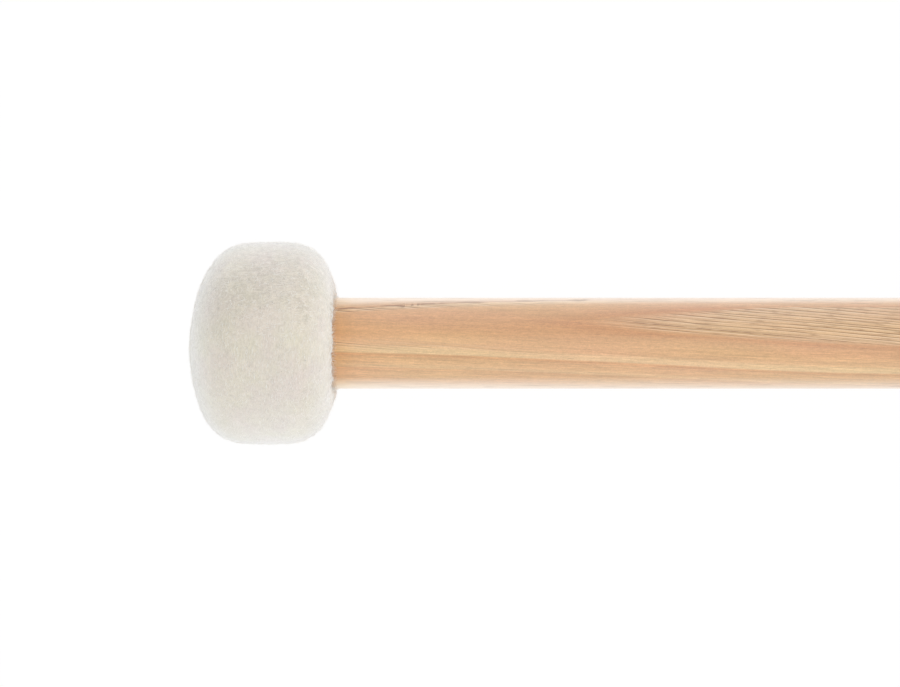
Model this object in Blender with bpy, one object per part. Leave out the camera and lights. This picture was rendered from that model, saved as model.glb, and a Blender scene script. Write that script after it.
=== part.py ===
"""A drum mallet: a wool-felt head built up on a wooden core, on a turned hickory handle.

The mallet lies along X, with its head at the -X end. The origin is the centre of the handle's flat
butt face. All lengths are in metres.
"""

import math

import bmesh
import bpy
import numpy

# Whole mallet
OVERALL_LENGTH = 0.350
FIT = 0.0003  # gap left between pieces that touch

# Handle
HANDLE_DIAMETER = 0.016
BUTT_EDGE_RADIUS = 0.003
TENON_DIAMETER = 0.011
TENON_CHAMFER = 0.0005
DRILL_POINT_ANGLE = math.radians(118)

# Wooden core of the head
CORE_DIAMETER = 0.021
CORE_LENGTH = 0.010
CORE_CHAMFER = 0.0006

# Washer and screw that hold the core on the tenon
WASHER_DIAMETER = 0.016
WASHER_THICKNESS = 0.0012
WASHER_CHAMFER = 0.0002
SCREW_DIAMETER = 0.0035
SCREW_ROOT_DIAMETER = 0.0024
SCREW_LENGTH = 0.016
SCREW_HEAD_DIAMETER = 0.0068
SCREW_HEAD_HEIGHT = 0.0022
SCREW_HEAD_ROUNDING = 0.0014
SCREW_PLAIN_LENGTH = 0.0035
SCREW_TIP_LENGTH = 0.003
THREAD_PITCH = 0.0014
THREAD_RIDGE_SHARE = 0.5  # part of the pitch that the ridge takes up
DRIVE_SLOT_WIDTH = 0.0008
DRIVE_SLOT_SPAN = 0.0036
DRIVE_SLOT_DEPTH = 0.0011

# Felt layers
COVER_WALL = 0.003
COVER_LIP_RADIUS = 0.0008
LINER_THICKNESS = 0.0039
LINER_JOINT_GAP = 0.0004
PAD_OVER_SCREW = 0.0012
BACK_RING_THICKNESS = 0.0026
BACK_RING_RIM = 0.0016  # width of the ring's flat back face

# Outline of the felt head, in front of its widest circle and behind it
WIDEST_BEHIND_CORE_MIDDLE = 0.00035
FRONT_DEPTH_POWER = 3.6
FRONT_RADIUS_POWER = 2.2
BACK_DEPTH_POWER = 2.6
BACK_RADIUS_POWER = 4.0
SWELL_HEIGHT = 0.00035
SWELL_RADIUS = 0.006

# Colour (red, green and blue from 0 to 255), roughness and metallic value of each material
FINISHES = {
    "hickory": ((221, 178, 140), 0.38, 0.0),
    "maple": ((228, 203, 166), 0.6, 0.0),
    "zinc_plate": ((186, 188, 190), 0.35, 1.0),
    "bright_steel": ((170, 172, 176), 0.3, 1.0),
    "pad_felt": ((208, 203, 192), 0.95, 0.0),
    "strip_felt": ((204, 198, 186), 0.95, 0.0),
    "ring_felt": ((206, 201, 190), 0.95, 0.0),
    "white_wool_felt": ((222, 216, 203), 0.95, 0.0),
}

# Fineness of the faceted surfaces
ROUND_SIDES = 48
SCREW_SIDES = 16
THREAD_STEPS = 8
CHORD_LENGTH = 0.0018
CURVE_SAMPLES = 200
EDGE_STEPS = 4
MERGE_DISTANCE = 0.000001
SHARP_EDGE_ANGLE = math.radians(35)

# Radii
HANDLE_RADIUS = HANDLE_DIAMETER / 2
TENON_RADIUS = TENON_DIAMETER / 2
CORE_RADIUS = CORE_DIAMETER / 2
WASHER_RADIUS = WASHER_DIAMETER / 2
SCREW_RADIUS = SCREW_DIAMETER / 2
SCREW_ROOT_RADIUS = SCREW_ROOT_DIAMETER / 2
SCREW_HEAD_RADIUS = SCREW_HEAD_DIAMETER / 2
MOUTH_RADIUS = HANDLE_RADIUS + FIT
LINER_RADIUS = CORE_RADIUS + FIT + LINER_THICKNESS
HEAD_RADIUS = LINER_RADIUS + FIT + COVER_WALL

# Places along the head, measured from its widest circle towards the handle
CORE_MIDDLE = -WIDEST_BEHIND_CORE_MIDDLE
CORE_FRONT = CORE_MIDDLE - CORE_LENGTH / 2
CORE_BACK = CORE_MIDDLE + CORE_LENGTH / 2
WASHER_BACK = CORE_FRONT - FIT
WASHER_FRONT = WASHER_BACK - WASHER_THICKNESS
SCREW_SEAT = WASHER_FRONT - FIT
SCREW_FRONT = SCREW_SEAT - SCREW_HEAD_HEIGHT
PAD_RECESS_END = SCREW_FRONT - FIT
PAD_FRONT = PAD_RECESS_END - PAD_OVER_SCREW
DOME_FRONT = PAD_FRONT - FIT - COVER_WALL
HEAD_FRONT = DOME_FRONT - SWELL_HEIGHT
SHOULDER = CORE_BACK + FIT
RING_BACK = SHOULDER + BACK_RING_THICKNESS
SCREW_TIP = SCREW_SEAT + SCREW_LENGTH

# Place of the head's widest circle on the mallet's axis
HEAD_X = -OVERALL_LENGTH - HEAD_FRONT


class Dome:
    """The curve from the head's widest circle to its axis, round like a superellipse."""

    def __init__(self, depth, radius, depth_power, radius_power):
        self.depth = depth
        self.radius = radius
        self.depth_power = depth_power
        self.radius_power = radius_power

    def inset(self, amount):
        """The same curve, moved inwards by one layer."""
        return Dome(self.depth - amount, self.radius - amount, self.depth_power, self.radius_power)

    def distance_at(self, radius):
        """How far from the widest circle the curve has this radius."""
        share = 1 - (radius / self.radius) ** self.radius_power
        return self.depth * share ** (1 / self.depth_power)

    def angle_at(self, distance):
        """The curve's angle at this distance, from 0 on the axis to a right angle at the widest circle."""
        return math.acos((distance / self.depth) ** (self.depth_power / 2))

    def point(self, angle):
        """The curve's distance from the widest circle and its radius, at an angle."""
        distance = self.depth * max(math.cos(angle), 0.0) ** (2 / self.depth_power)
        radius = self.radius * math.sin(angle) ** (2 / self.radius_power)
        return distance, radius

    def curve(self, start, end):
        """Evenly spaced points from one distance to another."""
        angles = numpy.linspace(self.angle_at(start), self.angle_at(end), CURVE_SAMPLES)
        samples = numpy.array([self.point(angle) for angle in angles])
        chords = numpy.linalg.norm(numpy.diff(samples, axis=0), axis=1)
        travelled = numpy.concatenate(([0.0], numpy.cumsum(chords)))
        steps = math.ceil(travelled[-1] / CHORD_LENGTH)
        places = numpy.linspace(0.0, travelled[-1], steps + 1)
        return [self.point(angle) for angle in numpy.interp(places, travelled, angles)]


def back_depth():
    """Depth of the liner's back curve, so that it ends on the rim of the ring's back face."""
    rim_share = (MOUTH_RADIUS + BACK_RING_RIM) / LINER_RADIUS
    reach = (1 - rim_share**BACK_RADIUS_POWER) ** (1 / BACK_DEPTH_POWER)
    return RING_BACK / reach


# The outer surface of the inner felt, the cavity around it and the outer surface of the head
FRONT_DOME = Dome(-DOME_FRONT, HEAD_RADIUS, FRONT_DEPTH_POWER, FRONT_RADIUS_POWER)
FRONT_CAVITY = FRONT_DOME.inset(COVER_WALL)
FRONT_LAYER = FRONT_CAVITY.inset(FIT)
BACK_LAYER = Dome(back_depth(), LINER_RADIUS, BACK_DEPTH_POWER, BACK_RADIUS_POWER)
BACK_CAVITY = BACK_LAYER.inset(-FIT)
BACK_DOME = BACK_CAVITY.inset(-COVER_WALL)


def clear_objects():
    for old in list(bpy.data.objects):
        bpy.data.objects.remove(old)


def linear(channel):
    """A colour channel of 0 to 255 as the light that it stands for, by the sRGB curve."""
    share = channel / 255
    if share <= 0.04045:
        return share / 12.92
    return ((share + 0.055) / 1.055) ** 2.4


def make_material(name):
    colour, roughness, metallic = FINISHES[name]
    material = bpy.data.materials.new(name)
    material.use_nodes = True
    shader = material.node_tree.nodes["Principled BSDF"]
    shader.inputs["Base Color"].default_value = (*[linear(channel) for channel in colour], 1.0)
    shader.inputs["Roughness"].default_value = roughness
    shader.inputs["Metallic"].default_value = metallic
    return material


def add_piece(name, form, finish, parent):
    """An object of the mallet, made from a bmesh and placed on its parent."""
    mesh = bpy.data.meshes.new(name)
    form.to_mesh(mesh)
    form.free()
    mesh.shade_smooth()
    mesh.set_sharp_from_angle(angle=SHARP_EDGE_ANGLE)
    mesh.materials.append(make_material(finish))
    piece = bpy.data.objects.new(name, mesh)
    piece.parent = parent
    bpy.context.collection.objects.link(piece)
    return piece


def turned(outline, sides=ROUND_SIDES):
    """A solid turned about X from (x, radius) points that run from axis to axis or round a ring."""
    form = bmesh.new()
    points = [form.verts.new((x, 0.0, radius)) for x, radius in outline]
    for start, end in zip(points, points[1:]):
        form.edges.new((start, end))
    if outline[0][1] > 0:
        form.edges.new((points[-1], points[0]))
    bmesh.ops.spin(
        form,
        geom=form.verts[:] + form.edges[:],
        cent=(0, 0, 0),
        axis=(1, 0, 0),
        angle=math.tau,
        steps=sides,
        use_merge=True,
    )
    bmesh.ops.remove_doubles(form, verts=form.verts, dist=MERGE_DISTANCE)
    bmesh.ops.recalc_face_normals(form, faces=form.faces)
    return form


def rounded_corner(centre_x, centre_radius, size, start, end):
    """Points of an arc, with angles measured from the +X direction towards a larger radius."""
    points = []
    for step in range(EDGE_STEPS + 1):
        angle = start + (end - start) * step / EDGE_STEPS
        points.append((centre_x + size * math.cos(angle), centre_radius + size * math.sin(angle)))
    return points


def cut(piece, name, size, centre):
    """Cuts a box of this size out of a piece. The box stays as a wire guide that isn't rendered."""
    form = bmesh.new()
    bmesh.ops.create_cube(form, size=1)
    bmesh.ops.scale(form, vec=size, verts=form.verts)
    bmesh.ops.translate(form, vec=centre, verts=form.verts)
    mesh = bpy.data.meshes.new(name)
    form.to_mesh(mesh)
    form.free()
    box = bpy.data.objects.new(name, mesh)
    box.parent = piece.parent
    box.hide_render = True
    box.display_type = "WIRE"
    bpy.context.collection.objects.link(box)
    difference = piece.modifiers.new(name, "BOOLEAN")
    difference.operation = "DIFFERENCE"
    difference.solver = "EXACT"
    difference.object = box


def make_handle(parent):
    """Hickory dowel with a rounded butt, and a tenon with a pilot hole for the screw."""
    shoulder_x = HEAD_X + SHOULDER
    tenon_x = HEAD_X + CORE_FRONT + FIT
    pilot_radius = SCREW_RADIUS + FIT
    pilot_x = HEAD_X + SCREW_TIP + FIT
    drill_point = pilot_radius / math.tan(DRILL_POINT_ANGLE / 2)
    outline = [
        (pilot_x + drill_point, 0),
        (pilot_x, pilot_radius),
        (tenon_x, pilot_radius),
        (tenon_x, TENON_RADIUS - TENON_CHAMFER),
        (tenon_x + TENON_CHAMFER, TENON_RADIUS),
        (shoulder_x, TENON_RADIUS),
        (shoulder_x, HANDLE_RADIUS),
    ]
    butt_flat_radius = HANDLE_RADIUS - BUTT_EDGE_RADIUS
    outline += rounded_corner(-BUTT_EDGE_RADIUS, butt_flat_radius, BUTT_EDGE_RADIUS, math.pi / 2, 0)
    outline.append((0, 0))
    return add_piece("handle", turned(outline), "hickory", parent)


def make_core(parent):
    """Maple core, bored for the tenon, with its edges broken."""
    bore_radius = TENON_RADIUS + FIT
    outline = [
        (CORE_FRONT, bore_radius),
        (CORE_FRONT, CORE_RADIUS - CORE_CHAMFER),
        (CORE_FRONT + CORE_CHAMFER, CORE_RADIUS),
        (CORE_BACK - CORE_CHAMFER, CORE_RADIUS),
        (CORE_BACK, CORE_RADIUS - CORE_CHAMFER),
        (CORE_BACK, bore_radius),
    ]
    return add_piece("head_core", turned(outline), "maple", parent)


def make_washer(parent):
    """Flat steel washer that bears on the core's front face around the tenon."""
    hole_radius = SCREW_RADIUS + FIT
    outline = [
        (WASHER_FRONT, hole_radius),
        (WASHER_FRONT, WASHER_RADIUS - WASHER_CHAMFER),
        (WASHER_FRONT + WASHER_CHAMFER, WASHER_RADIUS),
        (WASHER_BACK, WASHER_RADIUS),
        (WASHER_BACK, hole_radius),
    ]
    return add_piece("core_washer", turned(outline), "zinc_plate", parent)


def thread_height(x, angle):
    """Height of the screw's thread above its root, at a place along it and an angle round it."""
    turn = (x / THREAD_PITCH - angle / math.tau) % 1.0
    slope = abs(turn - 0.5) / (THREAD_RIDGE_SHARE / 2)
    return (SCREW_RADIUS - SCREW_ROOT_RADIUS) * max(0.0, 1 - slope)


def make_screw(parent):
    """Steel wood screw with a pan head, a cross recess, a thread and a pointed tip."""
    thread_start = SCREW_SEAT + SCREW_PLAIN_LENGTH
    tip_start = SCREW_TIP - SCREW_TIP_LENGTH
    thread_rings = round((tip_start - thread_start) / THREAD_PITCH * THREAD_STEPS)
    outline = [(SCREW_FRONT, 0)]
    outline += rounded_corner(
        SCREW_FRONT + SCREW_HEAD_ROUNDING,
        SCREW_HEAD_RADIUS - SCREW_HEAD_ROUNDING,
        SCREW_HEAD_ROUNDING,
        math.pi,
        math.pi / 2,
    )
    outline += [
        (SCREW_SEAT, SCREW_HEAD_RADIUS),
        (SCREW_SEAT, SCREW_ROOT_RADIUS),
    ]
    for ring in range(thread_rings + 1):
        outline.append((thread_start + (tip_start - thread_start) * ring / thread_rings, SCREW_ROOT_RADIUS))
    outline.append((SCREW_TIP, 0))
    form = turned(outline, SCREW_SIDES)
    for vertex in form.verts:
        if thread_start < vertex.co.x < tip_start:
            height = thread_height(vertex.co.x - thread_start, math.atan2(vertex.co.z, vertex.co.y))
            grown = (SCREW_ROOT_RADIUS + height) / SCREW_ROOT_RADIUS
            vertex.co.y *= grown
            vertex.co.z *= grown
    screw = add_piece("core_screw", form, "bright_steel", parent)
    slot_size = 2 * DRIVE_SLOT_DEPTH
    cut(screw, "drive_slot_upright", (slot_size, DRIVE_SLOT_WIDTH, DRIVE_SLOT_SPAN), (SCREW_FRONT, 0, 0))
    cut(screw, "drive_slot_across", (slot_size, DRIVE_SLOT_SPAN, DRIVE_SLOT_WIDTH), (SCREW_FRONT, 0, 0))
    return screw


def make_front_pad(parent):
    """Domed felt disc under the front of the cover, recessed for the washer and the screw's head."""
    edge = FRONT_LAYER.curve(FRONT_LAYER.depth, -WASHER_BACK)
    outline = [(-distance, radius) for distance, radius in edge]
    outline += [
        (WASHER_BACK, WASHER_RADIUS + FIT),
        (SCREW_SEAT, WASHER_RADIUS + FIT),
        (SCREW_SEAT, SCREW_HEAD_RADIUS + FIT),
        (PAD_RECESS_END, SCREW_HEAD_RADIUS + FIT),
        (PAD_RECESS_END, 0),
    ]
    return add_piece("front_pad", turned(outline), "pad_felt", parent)


def make_liner(parent):
    """Felt strip bent round the core, with its two ends butted together underneath."""
    bore_radius = CORE_RADIUS + FIT
    front = FRONT_LAYER.curve(-CORE_FRONT, 0)
    back = BACK_LAYER.curve(0, CORE_BACK)
    outline = [(CORE_FRONT, bore_radius)]
    outline += [(-distance, radius) for distance, radius in front]
    outline += back[1:]
    outline.append((CORE_BACK, bore_radius))
    liner = add_piece("felt_liner", turned(outline), "strip_felt", parent)
    joint_length = 2 * CORE_LENGTH
    joint_height = HEAD_RADIUS
    joint_size = (joint_length, LINER_JOINT_GAP, joint_height)
    cut(liner, "liner_joint", joint_size, (CORE_MIDDLE, 0, -joint_height / 2 - TENON_RADIUS))
    return liner


def make_back_ring(parent):
    """Felt ring round the handle, between the core and the back of the cover."""
    edge = BACK_LAYER.curve(SHOULDER, RING_BACK)
    outline = [(SHOULDER, MOUTH_RADIUS)] + edge + [(RING_BACK, MOUTH_RADIUS)]
    return add_piece("back_ring", turned(outline), "ring_felt", parent)


def swell(radius):
    """How far the middle of the head's front stands out."""
    if radius >= SWELL_RADIUS:
        return 0.0
    return SWELL_HEIGHT * math.cos(math.pi / 2 * radius / SWELL_RADIUS) ** 2


def make_cover(parent):
    """Wool felt drawn over the whole head and gathered round the handle at its mouth."""
    lip_top_radius = MOUTH_RADIUS + COVER_LIP_RADIUS
    lip_x = BACK_DOME.distance_at(lip_top_radius)
    front = FRONT_DOME.curve(FRONT_DOME.depth, 0)
    back = BACK_DOME.curve(0, lip_x)
    outline = [(-distance - swell(radius), radius) for distance, radius in front]
    outline += back[1:-1]
    outline += rounded_corner(lip_x - COVER_LIP_RADIUS, lip_top_radius, COVER_LIP_RADIUS, 0, -math.pi / 2)
    outline += BACK_CAVITY.curve(BACK_CAVITY.distance_at(MOUTH_RADIUS), 0)
    inner_front = FRONT_CAVITY.curve(0, FRONT_CAVITY.depth)
    outline += [(-distance, radius) for distance, radius in inner_front[1:]]
    return add_piece("felt_cover", turned(outline), "white_wool_felt", parent)


def main():
    clear_objects()
    mallet = bpy.data.objects.new("mallet", None)
    bpy.context.collection.objects.link(mallet)
    head = bpy.data.objects.new("head", None)
    head.location.x = HEAD_X
    head.parent = mallet
    bpy.context.collection.objects.link(head)
    make_handle(mallet)
    make_core(head)
    make_washer(head)
    make_screw(head)
    make_front_pad(head)
    make_liner(head)
    make_back_ring(head)
    make_cover(head)


main()
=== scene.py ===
"""Looks of the drum mallet: a white wool-felt head with loose surface fibres on a lacquered hickory handle.

The mallet lies on a white floor and is seen from straight above, with its head on the left.
"""

import math

import bmesh
import bpy
import numpy as np
from mathutils import Matrix, Vector, noise


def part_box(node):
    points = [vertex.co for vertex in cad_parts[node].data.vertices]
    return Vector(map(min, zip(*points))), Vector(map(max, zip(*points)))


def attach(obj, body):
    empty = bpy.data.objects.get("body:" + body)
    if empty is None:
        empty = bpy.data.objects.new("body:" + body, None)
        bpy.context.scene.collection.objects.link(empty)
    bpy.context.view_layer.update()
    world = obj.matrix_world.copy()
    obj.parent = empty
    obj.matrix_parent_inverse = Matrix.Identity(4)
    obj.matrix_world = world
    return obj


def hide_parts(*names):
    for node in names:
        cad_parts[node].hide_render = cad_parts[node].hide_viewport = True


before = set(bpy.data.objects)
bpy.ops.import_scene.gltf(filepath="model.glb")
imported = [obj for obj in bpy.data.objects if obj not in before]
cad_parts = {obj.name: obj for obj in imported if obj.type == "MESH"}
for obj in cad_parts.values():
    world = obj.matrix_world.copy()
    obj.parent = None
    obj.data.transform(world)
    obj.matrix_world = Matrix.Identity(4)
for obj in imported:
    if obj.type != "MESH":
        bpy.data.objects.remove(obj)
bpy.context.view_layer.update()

MM = 0.001
AXIS = Vector((1, 0, 0))

# The photograph's frame, and where the mallet lies in it
PHOTO_WIDTH = 900
PHOTO_HEIGHT = 687
PIXEL = 0.1758 * MM
HEAD_FRONT_PIXEL = 188.5
AXIS_PIXEL = 343.2
CAMERA_DISTANCE = 0.45
SENSOR_WIDTH = 36.0

# Sizes of the mallet, read from the frame where it states them
cover_low, cover_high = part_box("felt_cover")
handle_low, handle_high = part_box("handle")
ring_low, ring_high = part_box("back_ring")
HEAD_RADIUS = cover_high.z - 0.32 * MM
HEAD_FRONT_X = cover_low.x
HANDLE_RADIUS = handle_high.z
SHOULDER_X = ring_low.x
TENON_X = handle_low.x
TENON_RADIUS = 5.5 * MM
PILOT_RADIUS = 2.05 * MM
PILOT_LENGTH = 14.2 * MM
BUTT_EDGE_RADIUS = 3 * MM
COVER_WALL = 3 * MM
FRONT_DEPTH = 14.1 * MM
BACK_DEPTH = 12.62 * MM
FRONT_POWERS = (3.85, 1.58)
BACK_POWERS = (3.9, 1.75)
WIDEST_X = HEAD_FRONT_X + 14.4 * MM
MOUTH_RADIUS = HANDLE_RADIUS + 0.02 * MM
LIP_RADIUS = 2.0 * MM
LIP_WAVES = ((2.6 * MM, 0.28 * MM), (0.9 * MM, 0.36 * MM), (0.4 * MM, 0.36 * MM))
FRONT_SKEW = 0.026
BACK_SKEW = 0.010

# Felt relief and fibres
FELT_SEED = 11
LUMP_HEIGHT = 0.13 * MM
LUMP_SIZE = 7 * MM
RELIEF_HEIGHT = 0.03 * MM
RELIEF_SIZE = 0.8 * MM
FIBRE_PIECES = 3
FIBRES_PER_PIECE = 9000
MOUTH_FIBRES = 3000
MOUTH_REACH = 0.85 * MM
MATTED_STRANDS = 5200
STRAND_RADIUS = 0.024 * MM
STRAND_LENGTHS = (0.55 * MM, 1.4 * MM)
STRAND_POINTS = 5
FIBRE_RADIUS = 0.010 * MM
FIBRE_LENGTHS = (0.3 * MM, 1.1 * MM)
FIBRE_LIFTS = (0.02 * MM, 0.22 * MM)
FUZZ_LIFTS = (0.15 * MM, 0.45 * MM)

# Dark fibres that stand out on the side that faces the camera, as (photo column, photo row, length)
DARK_FIBRES = (
    (262, 284, 0.5 * MM),
    (267, 310, 0.4 * MM),
    (227, 310, 0.35 * MM),
    (311, 360, 0.35 * MM),
    (257, 366, 0.3 * MM),
    (310, 418, 0.5 * MM),
)


def linear(*colour):
    """A colour of 0 to 255 as the light that it stands for, by the sRGB curve."""
    shares = [channel / 255 for channel in colour]
    return tuple(s / 12.92 if s <= 0.04045 else ((s + 0.055) / 1.055) ** 2.4 for s in shares) + (1.0,)


def add_node(tree, kind, inputs=None, **settings):
    """A shader node with its settings and inputs. An input is a value or another node's output."""
    made = tree.nodes.new(kind)
    for name, value in settings.items():
        setattr(made, name, value)
    for name, value in (inputs or {}).items():
        if isinstance(value, bpy.types.NodeSocket):
            tree.links.new(value, made.inputs[name])
        else:
            made.inputs[name].default_value = value
    return made


def maths(tree, operation, *values, clamp=False):
    inputs = dict(enumerate(values))
    return add_node(tree, "ShaderNodeMath", inputs, operation=operation, use_clamp=clamp).outputs[0]


def dot(tree, vector, direction):
    inputs = {0: vector, 1: direction}
    return add_node(tree, "ShaderNodeVectorMath", inputs, operation="DOT_PRODUCT").outputs["Value"]


def scaled(tree, vector, scale, place=(0, 0, 0)):
    inputs = {"Vector": vector, "Scale": scale, "Location": place}
    return add_node(tree, "ShaderNodeMapping", inputs).outputs[0]


def ramp(tree, factor, stops):
    """A colour ramp with stops of (place, colour)."""
    made = add_node(tree, "ShaderNodeValToRGB", {"Fac": factor})
    elements = made.color_ramp.elements
    while len(elements) < len(stops):
        elements.new(0.5)
    for element, (place, colour) in zip(elements, stops):
        element.position = place
        element.color = colour
    return made.outputs["Color"]


def grey(level):
    return (level, level, level, 1.0)


def mix(tree, factor, first, second, blend="MIX"):
    inputs = {"Factor": factor, "A": first, "B": second}
    made = tree.nodes.new("ShaderNodeMix")
    made.data_type = "RGBA"
    made.blend_type = blend
    sockets = {"Factor": made.inputs[0], "A": made.inputs[6], "B": made.inputs[7]}
    for name, value in inputs.items():
        if isinstance(value, bpy.types.NodeSocket):
            tree.links.new(value, sockets[name])
        else:
            sockets[name].default_value = value
    return made.outputs[2]


def noise_texture(tree, vector, scale, detail=3.0, roughness=0.5, distortion=0.0):
    inputs = {
        "Vector": vector,
        "Scale": scale,
        "Detail": detail,
        "Roughness": roughness,
        "Distortion": distortion,
    }
    return add_node(tree, "ShaderNodeTexNoise", inputs).outputs["Fac"]


def new_material(name):
    """A material with its shader, and its object coordinates in millimetres."""
    material = bpy.data.materials.new(name)
    material.use_nodes = True
    tree = material.node_tree
    shader = tree.nodes["Principled BSDF"]
    place = add_node(tree, "ShaderNodeTexCoord").outputs["Object"]
    return material, tree, shader, scaled(tree, place, (1000, 1000, 1000))


def bump(tree, shader, height, distance, strength=1.0):
    inputs = {"Height": height, "Distance": distance, "Strength": strength}
    made = add_node(tree, "ShaderNodeBump", inputs)
    tree.links.new(made.outputs[0], shader.inputs["Normal"])


# Growth rings of the handle, in millimetres. The pith lies under the handle, which is cut a little across the grain.
RING_FACING = math.radians(26.9)
PITH_DISTANCE = 60
CATHEDRAL_X = -278.2
RUNOUT_DOWN = 0.01715
RUNOUT_SIDEWAYS = 0.03135
RING_SPREAD = 0.00829
RING_SPREAD_REACH = 75
TOP_RING = (7.952, 2.771)
NEXT_RING = (5.181, 2.227)
RING_WAVE = 0.10
FAR_RING_Y = (7.9, 1.87)
FAR_RING_X = (-322.5, 25)
FAR_RING_WIDTH = 1.5
GRAIN_SLOPE = 0.045
PORE_SLOPE = 0.09
LONGEST_PORE = -20.93
PORES_PER_MM = 1.8

# How dark the ring line near the far edge is, as (photo column, strength)
FAR_LINE = (
    (337, 0.3),
    (342, 0.9),
    (353, 0.9),
    (358, 0.3),
    (381, 0.35),
    (387, 0.8),
    (399, 0.9),
    (421, 1.0),
    (434, 0.7),
    (437, 0.2),
    (441, 0.7),
    (452, 0.4),
    (465, 0.85),
    (479, 0.85),
    (486, 0.2),
    (514, 0.2),
    (518, 0.8),
    (527, 0.8),
    (532, 0.25),
    (542, 0.6),
    (550, 0.3),
    (565, 0.45),
    (577, 1.0),
    (584, 1.0),
    (591, 0.1),
    (600, 0.0),
)
TORN_COLUMNS = (397, 402, 419, 424)


def beyond_far_ring(tree, place):
    """How far outside the ring line near the handle's far edge each point is."""
    bend = maths(tree, "DIVIDE", maths(tree, "SUBTRACT", FAR_RING_X[0], dot(tree, place, (1, 0, 0))), FAR_RING_X[1])
    drop = maths(tree, "MULTIPLY", maths(tree, "EXPONENT", bend), FAR_RING_Y[1])
    return maths(tree, "SUBTRACT", dot(tree, place, (0, 1, 0)), maths(tree, "SUBTRACT", FAR_RING_Y[0], drop))


def ring_count(tree, place):
    """How many growth rings each point of the wood lies above the one whose end shows on top, and how deep."""
    outward = (0, math.sin(RING_FACING), math.cos(RING_FACING))
    sideways = (0, math.cos(RING_FACING), -math.sin(RING_FACING))
    along = maths(tree, "SUBTRACT", dot(tree, place, (1, 0, 0)), CATHEDRAL_X)
    depth = dot(tree, place, outward)
    across = maths(tree, "ADD", maths(tree, "MULTIPLY_ADD", along, RUNOUT_DOWN, depth), PITH_DISTANCE)
    beside = maths(tree, "MULTIPLY_ADD", along, RUNOUT_SIDEWAYS, dot(tree, place, sideways))
    squares = maths(tree, "ADD", maths(tree, "POWER", across, 2.0), maths(tree, "MULTIPLY", beside, beside))
    radius = maths(tree, "SUBTRACT", maths(tree, "SQRT", squares), PITH_DISTANCE)
    reach = maths(tree, "DIVIDE", along, RING_SPREAD_REACH)
    fade = maths(tree, "EXPONENT", maths(tree, "MULTIPLY", maths(tree, "MULTIPLY", reach, reach), -1.0))
    spread = maths(tree, "MULTIPLY", maths(tree, "MULTIPLY", along, fade), RING_SPREAD)
    radius = maths(tree, "ADD", radius, maths(tree, "MULTIPLY", spread, maths(tree, "SUBTRACT", 8.0, depth)))
    slow = noise_texture(tree, scaled(tree, place, (0.03, 0.2, 0.2)), 1.0, detail=2.0)
    top = maths(tree, "DIVIDE", maths(tree, "SUBTRACT", radius, TOP_RING[0]), TOP_RING[1])
    below = maths(tree, "DIVIDE", maths(tree, "SUBTRACT", radius, NEXT_RING[0]), NEXT_RING[1])
    rings = maths(tree, "MINIMUM", top, maths(tree, "SUBTRACT", below, 1.0))
    far = maths(tree, "DIVIDE", beyond_far_ring(tree, place), -FAR_RING_WIDTH)
    rings = maths(tree, "MINIMUM", rings, maths(tree, "SUBTRACT", far, 1.0))
    wave = maths(tree, "MULTIPLY", maths(tree, "SUBTRACT", slow, 0.5), RING_WAVE)
    return maths(tree, "ADD", rings, wave), maths(tree, "ABSOLUTE", depth)


def sloped(tree, place, slope):
    """The place, with the lines that run along X turned by a small slope."""
    parts = {
        "X": dot(tree, place, (1, 0, 0)),
        "Y": dot(tree, place, (slope, 1, 0)),
        "Z": dot(tree, place, (0, 0, 1)),
    }
    return add_node(tree, "ShaderNodeCombineXYZ", parts).outputs[0]


def ring_tones(tree, rings, phase):
    """Colour of the growth rings: pale early wood, darker late wood, and fainter rings low on the handle."""
    tones = ramp(
        tree,
        phase,
        (
            (0.00, linear(209, 154, 111)),
            (0.05, linear(216, 165, 121)),
            (0.11, linear(231, 194, 151)),
            (0.30, linear(231, 192, 148)),
            (0.42, linear(223, 177, 133)),
            (0.70, linear(221, 173, 128)),
            (0.90, linear(216, 166, 123)),
            (1.00, linear(208, 154, 112)),
        ),
    )
    contrast = ramp(
        tree,
        maths(tree, "MULTIPLY_ADD", rings, 0.25, 1.0),
        ((0.30, grey(0.10)), (0.44, grey(0.22)), (0.52, grey(0.40)), (0.70, grey(0.50)), (0.78, grey(1.0))),
    )
    return mix(tree, contrast, linear(220, 174, 130), tones)


def nearness(tree, distance, width):
    """1 where a distance is 0, falling to 0 at the width."""
    away = maths(tree, "ABSOLUTE", distance)
    return maths(tree, "SUBTRACT", 1.0, maths(tree, "DIVIDE", away, width), clamp=True)


def thin_lines(tree, place, scale, shift, width):
    """Thin lines that run along the grain: 1 on a line and 0 between them."""
    level = noise_texture(tree, scaled(tree, place, scale, shift), 1.0, detail=0.0)
    return nearness(tree, maths(tree, "SUBTRACT", level, 0.5), width)


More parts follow.
